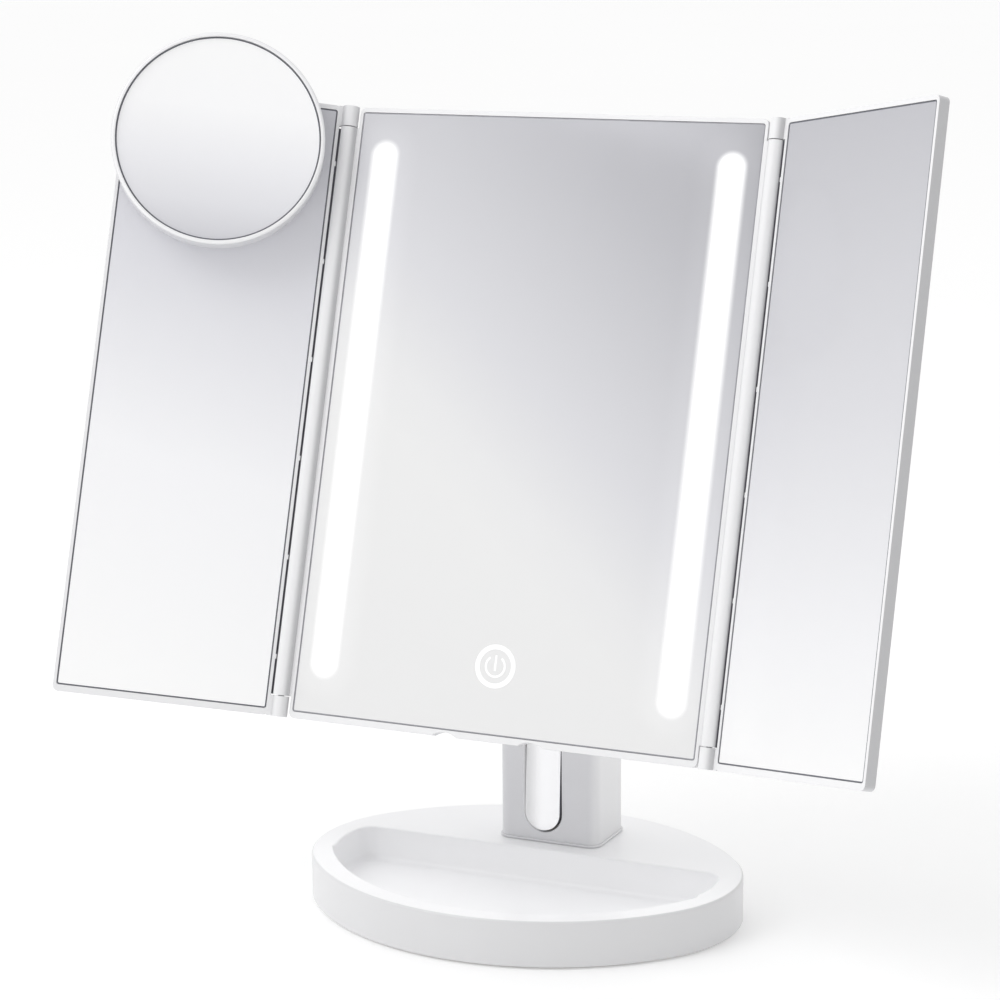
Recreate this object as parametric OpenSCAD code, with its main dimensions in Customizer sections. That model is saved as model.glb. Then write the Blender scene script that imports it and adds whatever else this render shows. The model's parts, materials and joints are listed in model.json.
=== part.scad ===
// Lighted tri-fold vanity mirror: a lit panel that tilts on a column, two side mirrors that fold
// over it, a pull-off spot mirror, and a weighted base with a tray.
// Millimetres. X is right, Y is back, Z is up. The origin is the centre of the base's underside.

/* [Main mirror] */
// Width of the main mirror, frame included
panel_w = 180; // [150:1:220]
// Height of the main mirror and of both side mirrors
panel_h = 256; // [213:1:310]
// Radius of the outer corners of the three mirror frames
corner_r = 2.5; // [1:0.5:5]
// Visible rim of a frame beside its glass
rim_side = 1.4; // [1.2:0.1:3]
// Visible rim of a frame above its glass
rim_top = 2; // [1.2:0.1:4]
// Visible rim of a frame below its glass
rim_bottom = 2.8; // [1.2:0.1:4]
// Depth of the three mirror frames, front to back
frame_t = 5; // [4.6:0.1:8]
// Thickness of the mirror glass
glass_t = 1.8; // [1.5:0.1:2]
// How far the head leans back at rest, in degrees
tilt = 17.2; // [5:0.1:40]

/* [Lights] */
// Width of a light strip
strip_w = 12; // [8:0.5:16]
// Distance from the side of the panel to the middle of a light strip
strip_inset = 13.5; // [13:0.5:20]
// Distance from the bottom of the panel to the lower end of a light strip
strip_low = 18.5; // [14:0.5:40]
// Distance from the top of the panel to the upper end of a light strip
strip_high = 13.5; // [8:0.5:40]
// Number of lamps in each light strip
led_count = 15; // [6:1:18]
// Height of the touch switch above the bottom of the panel
touch_z = 31; // [24:1:40]
// Diameter of the touch switch's sensor
touch_d = 18; // [12:0.5:24]

/* [Side mirrors] */
// Distance from the panel's side to the side mirror's inner edge
hinge_gap = 8.5; // [8.5:0.1:10.2]
// Gap between the two side mirrors when they are closed
meet_gap = 1; // [0.8:0.1:3]
// Height of the knuckle at each end of a hinge
knuckle_h = 8.5; // [7:0.5:12]
// Diameter of a hinge pin
pin_d = 2.5; // [2:0.1:3]
// How far the left side mirror is folded forward at rest, in degrees
left_fold = 28; // [0:1:60]
// How far the right side mirror is folded forward at rest, in degrees
right_fold = 33; // [0:1:60]
// Number of nibs on a side mirror's inner edge
nib_count = 6; // [2:1:8]

/* [Spot mirror] */
// Diameter of the spot mirror's glass
spot_d = 84; // [60:1:100]
// Rim around the spot mirror's glass
spot_rim = 2; // [1.6:0.1:4]
// Depth of the spot mirror's body
spot_t = 15; // [13:0.5:20]
// Distance from the hinge axis to the middle of the spot mirror
spot_s = 53; // [51:0.5:60]
// Distance from the top of the side mirror down to the middle of the spot mirror
spot_drop = 23; // [15:1:60]

/* [Rear housing] */
// Distance from the frame's outline in to the rear housing's outline
housing_inset = 3; // [2:0.5:3.5]
// Distance from the front of the panel to the back of the rear housing
housing_back = 26; // [26:0.5:30]
// Wall of the rear housing
housing_wall = 2.2; // [2:0.1:3]
// Diameter of a battery cell
cell_d = 14.2; // [13.8:0.1:14.4]
// Length of a battery cell
cell_l = 50; // [49:0.5:50.5]

/* [Tilt joint] */
// Distance from the front of the panel back to the tilt axis
pivot_depth = 48; // [47:0.5:60]
// Distance from the bottom of the panel up to the tilt axis, along the panel
pivot_rise = 101; // [98:1:130]
// Height of the tilt axis above the table
pivot_z = 163; // [150:1:200]
// Diameter of the tilt shaft
shaft_d = 8; // [6:0.1:10]
// Running clearance of a shaft or pin in its hole, on the radius
run_fit = 0.05; // [0.02:0.01:0.1]

/* [Column] */
// Width of the column
col_w = 45; // [40:1:56]
// Depth of the column
col_d = 31; // [30:0.5:36]
// Distance from the middle of the base back to the middle of the column
col_y = 39; // [34:1:44]
// Radius of the column's upright corners
col_r = 5; // [3:0.5:6]
// Wall of the column
col_wall = 2.4; // [2:0.1:3]
// Width of the release button's slot
slot_w = 17; // [14:0.5:20]
// Sideways place of the release button
slot_x = -2; // [-3:0.5:3]
// Gap around the release button
slot_gap = 0.7; // [0.4:0.1:1]
// Height of the release button's slot
slot_h = 66; // [55:1:75]

/* [Base] */
// Width of the base
base_w = 186; // [151:1:220]
// Depth of the base
base_d = 146; // [136:1:174]
// Radius of the base's rounded ends
base_end_r = 54; // [40:1:60]
// Height of the base's top face
base_h = 20; // [18:0.5:26]
// Rim between the base's outline and the tray
tray_rim = 9.8; // [7:0.1:14]
// Distance from the middle of the base back to the tray's straight wall
tray_back = 14.5; // [8:0.5:15]
// Height of the tray's floor
tray_floor = 5.2; // [5:0.1:8]
// Radius of the tray's back corners
tray_corner = 8; // [4:0.5:10]
// Wall of the base
base_wall = 2.4; // [2:0.1:3]

/* [Hidden] */
$fn = 96;
eps = 0.01;          // overlap that keeps a cut from leaving a skin
gap = 0.3;           // clearance between pieces that don't touch
fit = 0.2;           // clearance of a piece seated in a pocket

white = "white";
ivory = "ivory";
silver = "silver";
steel = "slategray";
green = "seagreen";

// Mirror frames
glass_y = 0.3;                              // glass face behind the frame's front
web_y = glass_y + glass_t;                  // front of the web that the glass is glued to
web_t = 1.2;
hinge_front = 0.5;                          // hinge axis in front of the frames
hinge_x = panel_w / 2 + hinge_gap / 2;
wing_in = hinge_gap / 2;                    // a wing's inner edge, out from its hinge axis
wing_w = panel_w / 2 - meet_gap / 2;
barrel_r = hinge_gap / 2 - 0.8;
nib_out = 0.45;                             // how far a nib stands out towards the barrel
nib_h = 2;
nib_t = 1.6;                                // depth of a nib, front to back
nib_end = 24.5;                             // first and last nib, in from the frame's ends
pin_grip = 7;                               // length of a hinge pin inside the barrel
pin_end_gap = 2;                            // free length of the barrel's hole past the pin
notch_x = 19;                               // finger notches, from the middle of the panel
notch_w = 11;
notch_d = 1.8;

// Lights
strip_x = panel_w / 2 - strip_inset;
strip_l = panel_h - strip_low - strip_high;
strip_z = strip_low + strip_l / 2;
diffuser_t = 2.2;
rail_wall = 1.2;
board_y = 7.6;                              // front of the light boards
board_t = 1.2;

// Rear housing
housing_w = panel_w - 2 * housing_inset;
housing_h = panel_h - 2 * housing_inset;
housing_r = 8;
cell_pitch = cell_d + 0.8;
cell_count = 4;
bay_w = cell_count * cell_pitch + 2;        // inside width of the battery bay
bay_h = cell_l + 6;                         // inside height of the battery bay
bay_z = housing_inset + 14;                 // bottom of the bay's inside
bay_floor_y = 7.2;
bay_floor_t = 1.2;
bay_wall = 3;
door_flange = 1.5;
door_flange_t = 1;
door_top = bay_z + bay_h + 1;
door_bottom = housing_inset;
door_y = housing_back - 2.4;                // inner face of the door
boss_r = 3.2;
boss_x = bay_w / 2 + bay_wall + boss_r + gap;   // screw bosses, beside the bay
self_tap_r = 1.2;                           // screws cut their own thread in holes this wide
board_left = boss_x + boss_r + gap;         // inner edge of the control board
board_w = housing_w / 2 - housing_r - board_left;
board_h = 44;
board_x = board_left + board_w / 2;
board_z = housing_inset + housing_wall + 0.5;   // lower edge of the control board
board_step = 2.8;                           // control board, behind the front of the light boards
usb_w = 8;
usb_d = 3;
usb_y = board_y + board_step + board_t;

// Tilt joint
ear_r = 13;
ear_t = 5.5;
yoke_screw_r = 1.6;
bush_flange_t = 1;
washer_t = 1;
washer_in = col_w / 2 + bush_flange_t + gap;
ear_in = washer_in + washer_t;
ear_out = ear_in + ear_t;
yoke_w = 2 * ear_out + 14;
yoke_h = 44;
yoke_t = 3.5;
bush_r = shaft_d / 2 + 2;

// Column, collar and post
collar_h = 1;
seam = 0.3;                                 // shadow gap under the collar
col_foot = base_h + seam + collar_h;
col_front = col_y - col_d / 2;
post_wall = 2.4;
post_w = col_w - 2 * col_wall - 2 * fit;
button_room = 10;                           // depth behind the column's front wall for the button
post_front = col_front + col_wall + button_room;
post_back = col_y + col_d / 2 - col_wall - fit;
post_top = col_foot + slot_h + 16;
slot_bottom = base_h + 4.5;

// Release button
button_w = slot_w - 2 * slot_gap;
button_h = slot_h - 2 * slot_gap;
button_t = 4;
button_bulge_r = 16;
button_pin_d = 3;
button_pin_z = slot_bottom + slot_h - 7;
button_pin_y = col_front + col_wall + 5;
button_lean = 3.6;                          // lean at rest, taken away when it is pressed

// Base
base_low = 1;                               // bottom edge of the base's wall
plate_z = base_low + gap;                   // underside of the bottom plate
plate_t = 1.6;
foot_r = 6;
weight_t = 5;
feet_x = base_w / 2 - 43;
feet_y = base_d / 2 - 30;

// Spot mirror
spot_r = spot_d / 2 + spot_rim;
cup_gap = 2.2;                              // spot mirror's back, in front of the wing's glass
cup_r = 12;
cup_ring = 22;
spot_glass_t = 1.8;
spot_pocket = 4;                            // depth of the pocket that holds the spot mirror's glass
bowl_r = 700;                               // radius of the spot mirror's hollow face

// ---------------------------------------------------------------- outlines

// Rectangle w by h with corners of radius r, centred
module round_rect(w, h, r) {
    square([w - 2 * r, h], center = true);
    square([w, h - 2 * r], center = true);
    for (x = [-1, 1], y = [-1, 1])
        translate([x * (w / 2 - r), y * (h / 2 - r)]) circle(r);
}

// Upright slot w wide and h high with round ends, centred
module pill(w, h) {
    square([w, h - w], center = true);
    for (y = [-1, 1])
        translate([0, y * (h - w) / 2]) circle(w / 2);
}

// The base's oval: end arcs of base_end_r blend into two flat arcs; grown outwards by d
module base_oval(d) {
    a = base_w / 2 - base_end_r;
    b = base_d / 2 - base_end_r;
    drop = (a * a - b * b) / (2 * b);
    flat_r = base_d / 2 + drop;
    meet_x = a * flat_r / (flat_r - base_end_r);
    $fn = 180;
    for (x = [-1, 1])
        translate([x * a, 0]) circle(base_end_r + d);
    intersection() {
        translate([0, -drop]) circle(flat_r + d);
        translate([0, drop]) circle(flat_r + d);
        square([2 * meet_x, base_d * 2], center = true);
    }
}

// The tray's outline: the oval inside the rim, cut straight behind, with rounded back corners
module tray_outline(grow) {
    end_x = base_w / 2 - base_end_r;
    end_r = base_end_r - tray_rim;
    back = tray_back;
    r = tray_corner;
    mid_y = back - r;
    mid_x = end_x + sqrt(pow(end_r - r, 2) - mid_y * mid_y);
    touch_x = end_x + (mid_x - end_x) * end_r / (end_r - r);
    touch_y = mid_y * end_r / (end_r - r);
    difference() {
        intersection() {
            base_oval(grow - tray_rim);
            translate([-base_w, -base_d]) square([2 * base_w, base_d + back + grow]);
        }
        if (grow == 0)
            for (m = [0, 1])
                mirror([m, 0])
                    polygon([[mid_x, back], [mid_x, back + 1], [base_w, back + 1],
                             [base_w, touch_y], [touch_x, touch_y]]);
    }
    if (grow == 0)
        for (x = [-1, 1])
            translate([x * mid_x, mid_y]) circle(r);
}

// ---------------------------------------------------------------- frames of reference

// The head's own frame: front face at y = 0, bottom edge at z = 0, leaning back by the tilt
module in_head() {
    translate([0, col_y, pivot_z]) rotate([-tilt, 0, 0])
        translate([0, -pivot_depth, -pivot_rise]) children();
}

// A wing's own frame: hinge axis at x = 0, the wing running out along +X; side is -1 or 1
module in_wing(side) {
    in_head() {
        if (side > 0)
            translate([hinge_x, -hinge_front, 0]) rotate([0, 0, -right_fold]) children();
        else
            translate([-hinge_x, -hinge_front, 0])
                mirror([1, 0, 0]) rotate([0, 0, -left_fold]) children();
    }
}

// The spot mirror's own frame: axis along Y through the origin, back face at y = 0
module in_spot() {
    in_wing(-1)
        translate([spot_s, hinge_front + glass_y - cup_gap, panel_h - spot_drop]) children();
}

// An outline drawn in X and Z, made solid from y to y + t
module plate(y, t) {
    translate([0, y + t, 0]) rotate([90, 0, 0]) linear_extrude(t) children();
}

// A plate with its lower left corner at x, z
module box_plate(x, z, w, h, y, t, r) {
    plate(y, t) translate([x + w / 2, z + h / 2]) round_rect(w, h, r);
}

// A round bar along Y from y to y + t
module disc_y(x, z, r, y, t) {
    translate([x, y + t, z]) rotate([90, 0, 0]) cylinder(r = r, h = t);
}

// A round bar along X, centred on x
module bar_x(r, l, x = 0) {
    translate([x - l / 2, 0, 0]) rotate([0, 90, 0]) cylinder(r = r, h = l);
}

// ---------------------------------------------------------------- base

module base_shell() {
    tray_cut = base_h - tray_floor;
    color(white) difference() {
        translate([0, 0, base_low]) linear_extrude(base_h - base_low) base_oval(0);
        translate([0, 0, tray_floor]) linear_extrude(tray_cut + 1) tray_outline(0);
        difference() {
            translate([0, 0, base_low - 1])
                linear_extrude(base_h - base_wall - base_low + 1) base_oval(-base_wall);
            translate([0, 0, tray_floor - base_wall + 0.4])
                linear_extrude(base_h) tray_outline(base_wall);
            screw_posts(base_h, 4);
        }
        screw_posts(base_h - 4, self_tap_r);
        translate([0, (post_front + post_back) / 2, base_h - base_wall - 1])
            linear_extrude(base_wall + 2)
                square([post_w + 2 * fit, post_back - post_front + 2 * fit], center = true);
    }
}

// Four upright posts (or their screw holes) of radius r, up to height h
module screw_posts(h, r) {
    at_base_screws() translate([0, 0, plate_z + plate_t])
        cylinder(r = r, h = h - plate_z - plate_t - 1, $fn = 32);
}

// Places of the screws behind the tray: two beside the column and two behind it
module at_base_screws() {
    for (x = [-1, 1]) {
        translate([x * (base_w / 2 - 29), tray_back + 9.5]) children();
        translate([x * 22, base_d / 2 - 11]) children();
    }
}

module base_bottom() {
    color(ivory) difference() {
        translate([0, 0, plate_z]) linear_extrude(plate_t) base_oval(-base_wall - fit);
        at_base_screws() cylinder(r = 1.6, h = 5, $fn = 32);
    }
}

module base_weight() {
    weight_w = base_w / 2 - 7;
    color(steel) translate([0, col_y - 2, plate_z + plate_t])
        linear_extrude(weight_t) round_rect(weight_w, 32, 6);
}

// Four rubber feet near the edge, and one in the middle under the tray
module base_feet() {
    color("dimgray") {
        cylinder(r = foot_r, h = plate_z);
        for (x = [-1, 1], y = [-1, 1])
            translate([x * feet_x, y * feet_y, 0]) cylinder(r = foot_r, h = plate_z);
    }
}

module base_screws() {
    head_t = 0.8;
    color(silver) at_base_screws() translate([0, 0, plate_z - head_t]) {
        cylinder(r = 2.6, h = head_t, $fn = 32);
        cylinder(r = self_tap_r, h = 9, $fn = 32);
    }
}

// Hollow post that the column stands on, with a flange under the base's top face
module base_post() {
    depth = post_back - post_front;
    mid = (post_front + post_back) / 2;
    flange_t = 3;
    flange_z = base_h - base_wall - flange_t;
    color(ivory) difference() {
        union() {
            translate([0, mid, flange_z]) {
                linear_extrude(post_top - flange_z) round_rect(post_w, depth, 2);
                linear_extrude(flange_t) round_rect(post_w + 14, depth + 8, 3);
            }
            button_lugs();
        }
        translate([0, mid, flange_z - 1])
            linear_extrude(post_top) round_rect(post_w - 2 * post_wall, depth - 2 * post_wall, 1);
        about_button_pin(0) bar_x(button_pin_d / 2, button_w + 12);
    }
}

// Two lugs on the post's front that hold the button's pin
module button_lugs() {
    lug_in = button_w / 2 + 2;
    lug_t = 3;
    lug_r = 4;
    for (x = [-1, 1])
        translate([slot_x + x * (lug_in + lug_t / 2), button_pin_y, button_pin_z]) {
            bar_x(lug_r, lug_t);
            translate([-lug_t / 2, 0, -lug_r])
                cube([lug_t, post_front - button_pin_y + 1, 2 * lug_r]);
        }
}

// ---------------------------------------------------------------- column

// The column's outer shape, shrunk by d: upright sides under a half-round top
module column_form(d) {
    intersection() {
        translate([0, col_y, 0]) linear_extrude(pivot_z + col_d)
            round_rect(col_w - 2 * d, col_d - 2 * d, col_r - d);
        union() {
            translate([-col_w, col_y - col_d, 0]) cube([2 * col_w, 2 * col_d, pivot_z]);
            translate([0, col_y, pivot_z]) bar_x(col_d / 2 - d, 2 * col_w);
        }
    }
}

module column_shell() {
    color(white) difference() {
        intersection() {
            column_form(0);
            translate([-col_w, 0, col_foot]) cube([2 * col_w, 3 * col_d, pivot_z + col_d]);
        }
        column_form(col_wall);
        translate([slot_x, 0, slot_bottom + slot_h / 2])
            plate(col_front - 1, col_wall + 2) pill(slot_w, slot_h);
        translate([0, col_y, pivot_z]) bar_x(bush_r, col_w + 2);
    }
}

module column_collar() {
    color(white) translate([0, col_y, base_h + seam]) linear_extrude(collar_h)
        difference() {
            round_rect(col_w + 1.4, col_d + 1.4, col_r + 0.7);
            round_rect(col_w - 2 * col_wall, col_d - 2 * col_wall, col_r - col_wall);
        }
}

// Long button in the column's slot, hinged at its top; pressing its lower end frees the column
module release_button() {
    drop = button_pin_z - slot_bottom - slot_gap;   // from the pin down to the button's end
    face = col_front + col_wall + gap - button_pin_y;
    color(white) difference() {
        about_button_pin(-button_lean) {
            intersection() {
                translate([0, 0, button_h / 2 - drop])
                    plate(face, button_t + 3) pill(button_w, button_h);
                translate([0, button_bulge_r + face, button_bulge_r * 0.55 - drop]) {
                    sphere(button_bulge_r);
                    cylinder(r = button_bulge_r, h = 2 * button_h);
                }
            }
            bar_x(3.4, button_w);
        }
        about_button_pin(0) bar_x(button_pin_d / 2 + run_fit, button_w + 2);
    }
}

// Places its children at the button's pin, turned about it
module about_button_pin(angle) {
    translate([slot_x, button_pin_y, button_pin_z]) rotate([angle, 0, 0]) children();
}

module button_pin() {
    color(silver) about_button_pin(0) bar_x(button_pin_d / 2, button_w + 10);
}

// Coils around the pin on both sides of the button
module button_spring() {
    coil_r = 2.6;
    wire_r = 0.35;
    color(steel) for (x = [-1, 1], turn = [0, 1])
        translate([slot_x + x * (button_w / 2 + 0.65 + turn * 0.7), button_pin_y, button_pin_z])
            rotate([0, 90, 0]) rotate_extrude($fn = 48)
                translate([coil_r, 0]) circle(wire_r, $fn = 16);
}

module pivot_block() {
    block_w = col_w - 2 * col_wall - 2 * fit;
    block_r = 11;
    block_drop = 26;
    color(ivory) difference() {
        translate([0, col_y, pivot_z]) {
            bar_x(block_r, block_w);
            translate([-block_w / 2, -block_r, -block_drop])
                cube([block_w, 2 * block_r, block_drop]);
        }
        translate([0, col_y, pivot_z]) bar_x(bush_r, block_w + 2);
    }
}

module pivot_bushes() {
    bush_l = 9;
    color("khaki") difference() {
        translate([0, col_y, pivot_z]) for (x = [-1, 1]) {
            bar_x(bush_r, bush_l, x * (col_w / 2 - bush_l / 2));
            bar_x(bush_r + 2.5, bush_flange_t, x * (col_w / 2 + bush_flange_t / 2));
        }
        translate([0, col_y, pivot_z]) bar_x(shaft_d / 2 + run_fit, col_w + 10);
    }
}

// ---------------------------------------------------------------- tilt joint

module tilt_shaft() {
    color(silver) translate([0, col_y, pivot_z]) {
        bar_x(shaft_d / 2, 2 * ear_out + 3);
        bar_x(shaft_d / 2 + 3, 2.5, -ear_out - 1.25);
    }
}

module shaft_nut() {
    color(silver) translate([ear_out, col_y, pivot_z]) rotate([0, 90, 0]) difference() {
        cylinder(d = shaft_d + 6, h = 4, $fn = 6);
        translate([0, 0, -1]) cylinder(d = shaft_d, h = 6, $fn = 48);
    }
}

module friction_washers() {
    color(steel) translate([0, col_y, pivot_z]) difference() {
        for (x = [-1, 1])
            bar_x(bush_r + 3, washer_t, x * (washer_in + washer_t / 2));
        bar_x(shaft_d / 2, 4 * col_w);
    }
}

module tilt_yoke() {
    reach = pivot_depth - housing_back;
    color(white) in_head() difference() {
        union() {
            box_plate(-yoke_w / 2, pivot_rise - yoke_h / 2, yoke_w, yoke_h, housing_back, yoke_t, 5);
            for (x = [-1, 1]) {
                translate([0, pivot_depth, pivot_rise])
                    bar_x(ear_r, ear_t, x * (ear_in + ear_t / 2));
                translate([x * (ear_in + ear_t / 2) - ear_t / 2, housing_back, pivot_rise - ear_r])
                    cube([ear_t, reach, 2 * ear_r]);
            }
        }
        translate([0, pivot_depth, pivot_rise]) bar_x(shaft_d / 2, 4 * col_w);
        yoke_pegs(yoke_screw_r, housing_back - 6, 12);
    }
}

// A round bar along Y at each of the yoke's four screws, from y to y + t
module yoke_pegs(r, y, t) {
    for (x = [-1, 1], z = [-1, 1])
        disc_y(x * (yoke_w / 2 - 4), pivot_rise + z * (yoke_h / 2 - 6), r, y, t);
}

module yoke_screws() {
    color(silver) in_head() {
        yoke_pegs(yoke_screw_r, housing_back - 2, yoke_t + 2);
        yoke_pegs(2.8, housing_back + yoke_t, 1.4);
    }
}

// ---------------------------------------------------------------- main panel

// Opening inside the rims of a frame w wide, shrunk by d on every side
module glass_outline(w, d) {
    glass_w = w - 2 * rim_side - 2 * d;
    glass_h = panel_h - rim_top - rim_bottom - 2 * d;
    translate([0, (panel_h + rim_bottom - rim_top) / 2]) round_rect(glass_w, glass_h, 1);
}

// The two light strips' outlines, grown by d on every side
module strip_outlines(d) {
    for (x = [-1, 1])
        translate([x * strip_x, strip_z]) pill(strip_w + 2 * d, strip_l + 2 * d);
}

module main_frame() {
    color(white) in_head() difference() {
        union() {
            plate(0, frame_t) translate([0, panel_h / 2]) round_rect(panel_w, panel_h, corner_r);
            plate(web_y, board_y - web_y) strip_outlines(rail_wall + fit);
            for (x = [-1, 1]) main_barrel(x);
        }
        plate(-1, web_y + 1) glass_outline(panel_w, 0);
        difference() {
            plate(web_y + web_t, frame_t) glass_outline(panel_w, 1);
            plate(0, board_y + 1) strip_outlines(rail_wall + fit);
        }
        plate(0, board_y + 1) strip_outlines(fit);
        disc_y(0, touch_z, touch_d / 2 + fit, 0, frame_t + 1);
        for (x = [-1, 1]) {
            barrel_holes(x);
            notch(x * notch_x);
        }
    }
}

// Holes for the hinge pins in both ends of a barrel
module barrel_holes(x) {
    hole_l = pin_grip + pin_end_gap;
    for (z = [knuckle_h, panel_h - knuckle_h - hole_l])
        translate([x * hinge_x, -hinge_front, z - eps])
            cylinder(d = pin_d + 2 * run_fit, h = hole_l, $fn = 48);
}

// Shallow finger notch in the panel's bottom edge
module notch(x) {
    notch_r = (notch_w * notch_w / 4 + notch_d * notch_d) / (2 * notch_d);
    disc_y(x, notch_d - notch_r, notch_r, -1, frame_t + 2);
}

// Long middle barrel of a hinge, with the web that joins it to the panel
module main_barrel(x) {
    z = knuckle_h + gap;
    h = panel_h - 2 * z;
    translate([x * hinge_x, -hinge_front, z]) cylinder(r = barrel_r, h = h, $fn = 48);
    web_x = x > 0 ? panel_w / 2 - 1 : -hinge_x;
    translate([web_x, 0, z]) cube([hinge_x - panel_w / 2 + 1, barrel_r - hinge_front - 0.2, h]);
}

module main_glass() {
    color(silver) in_head() plate(glass_y, glass_t) glass_outline(panel_w, gap / 2);
}

module diffuser(x) {
    color("white") in_head() plate(web_y, diffuser_t)
        translate([x * strip_x, strip_z]) pill(strip_w, strip_l);
}

module left_diffuser() { diffuser(-1); }
module right_diffuser() { diffuser(1); }

// Light board behind a diffuser, with its row of lamps
module led_board(x) {
    pitch = (strip_l - strip_w) / (led_count - 1);
    first_z = strip_low + strip_w / 2;
    lamp = [2.8, 0.8, 3.5];
    color(green) in_head() {
        plate(board_y, board_t) translate([x * strip_x, strip_z])
            pill(strip_w + 2 * rail_wall, strip_l + 2 * rail_wall);
        for (i = [0 : led_count - 1])
            translate([x * strip_x - lamp.x / 2, board_y - lamp.y, first_z + i * pitch - lamp.z / 2])
                cube([lamp.x, lamp.y + eps, lamp.z]);
    }
}

module left_led_board() { led_board(-1); }
module right_led_board() { led_board(1); }

module touch_sensor() {
    color("goldenrod") in_head() {
        disc_y(0, touch_z, touch_d / 2, web_y, 0.6);
        translate([-4, web_y + 0.6, touch_z - 3]) cube([8, 1.4, 6]);
    }
}

// ---------------------------------------------------------------- rear housing and electrics

module rear_housing() {
    back_wall_y = housing_back - housing_wall;
    bay_left = -bay_w / 2 - bay_wall;
    inner_t = back_wall_y - frame_t;
    color(white) in_head() difference() {
        union() {
            difference() {
                box_plate(-housing_w / 2, housing_inset, housing_w, housing_h,
                    frame_t, housing_back - frame_t, housing_r);
                box_plate(-housing_w / 2 + housing_wall, housing_inset + housing_wall,
                    housing_w - 2 * housing_wall, housing_h - 2 * housing_wall,
                    frame_t - 1, inner_t + 1, housing_r - housing_wall);
            }
            box_plate(bay_left, bay_z - bay_wall, bay_w + 2 * bay_wall, bay_h + 2 * bay_wall,
                bay_floor_y, back_wall_y - bay_floor_y + eps, 1);
            boss_pegs(boss_r, frame_t + gap, back_wall_y - frame_t - gap + eps);
        }
        box_plate(-bay_w / 2, bay_z, bay_w, bay_h, bay_floor_y + bay_floor_t, housing_back, 0.5);
        translate([-bay_w / 2 - gap, door_y - gap, -1])
            cube([bay_w + 2 * gap, housing_back, door_top + gap + 1]);
        translate([-bay_w / 2 - door_flange - gap, door_y - gap, -1])
            cube([bay_w + 2 * door_flange + 2 * gap, door_flange_t + 2 * gap, door_top + gap + 1]);
        boss_pegs(self_tap_r, 0, back_wall_y + eps);
        yoke_pegs(yoke_screw_r, housing_back - 6, 12);
        translate([board_x - usb_w / 2 - 0.4, usb_y - 0.4, 0])
            cube([usb_w + 0.8, usb_d + 0.8, housing_inset + housing_wall + 1]);
    }
}

// A round bar along Y at each of the housing's six screws, from y to y + t
module boss_pegs(r, y, t) {
    for (x = [-1, 1], z = [housing_inset + 12, panel_h * 0.55, panel_h - housing_inset - 8])
        disc_y(x * boss_x, z, r, y, t, $fn = 32);
}

module rear_screws() {
    color(silver) in_head() boss_pegs(self_tap_r, web_y + web_t, 11);
}

module battery_door() {
    color(white) in_head() {
        translate([-bay_w / 2, door_y, door_bottom])
            cube([bay_w, housing_back - door_y, door_top - door_bottom]);
        translate([-bay_w / 2 - door_flange, door_y, door_bottom])
            cube([bay_w + 2 * door_flange, door_flange_t, door_top - door_bottom]);
        for (i = [0 : 4])
            translate([-10, housing_back - eps, door_top - 12 - i * 3]) cube([20, 0.8, 1.2]);
    }
}

// Places of the battery cells, as children at each cell's lower end
module at_cells() {
    for (i = [0 : cell_count - 1])
        translate([(i - (cell_count - 1) / 2) * cell_pitch,
                   bay_floor_y + bay_floor_t + cell_d / 2 + 0.1, bay_z + (bay_h - cell_l) / 2])
            children();
}

module battery_cells() {
    color("darkkhaki") in_head() at_cells() {
        cylinder(d = cell_d, h = cell_l - 1);
        cylinder(d = 5.5, h = cell_l, $fn = 32);
    }
}

// Contact plates with a spring ring at the lower end of each cell
module battery_contacts() {
    reach = (bay_h - cell_l) / 2;
    color(silver) in_head() at_cells() {
        for (z = [-reach, cell_l + reach - 0.4])
            translate([-5, -5, z]) cube([10, 10, 0.4]);
        for (i = [0 : 2])
            translate([0, 0, -reach + 0.7 + i * 0.8])
                rotate_extrude($fn = 40) translate([3.4 - i * 0.4, 0]) circle(0.35, $fn = 14);
    }
}

module control_board() {
    color(green) in_head() {
        translate([board_left, board_y + board_step, board_z]) cube([board_w, board_t, board_h]);
        translate([board_x - 6, board_y + board_step + board_t, board_z + 16]) cube([12, 2, 12]);
    }
}

module usb_socket() {
    color(silver) in_head()
        translate([board_x - usb_w / 2, usb_y, housing_inset + 0.4]) difference() {
            cube([usb_w, usb_d, 6.5]);
            translate([0.5, 0.5, -1]) cube([usb_w - 1, usb_d - 1, 5.5]);
        }
}

// Wires from the bay and the light boards to the control board
module wiring() {
    wire_r = 0.7;
    board_top = board_z + board_h;
    wire_z = bay_z + bay_h + bay_wall + 5;
    wire_y = board_y + board_step + board_t / 2;
    color("firebrick") in_head() {
        translate([0, wire_y, wire_z]) bar_x(wire_r, 2 * strip_x - 4);
        for (x = [-1, 1])
            translate([x * (strip_x - 2), wire_y, wire_z]) rotate([90, 0, 0])
                cylinder(r = wire_r, h = wire_y - board_y - board_t, $fn = 24);
        translate([board_x, wire_y, board_top])
            cylinder(r = wire_r, h = wire_z - board_top, $fn = 24);
    }
}

// ---------------------------------------------------------------- side mirrors

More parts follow.
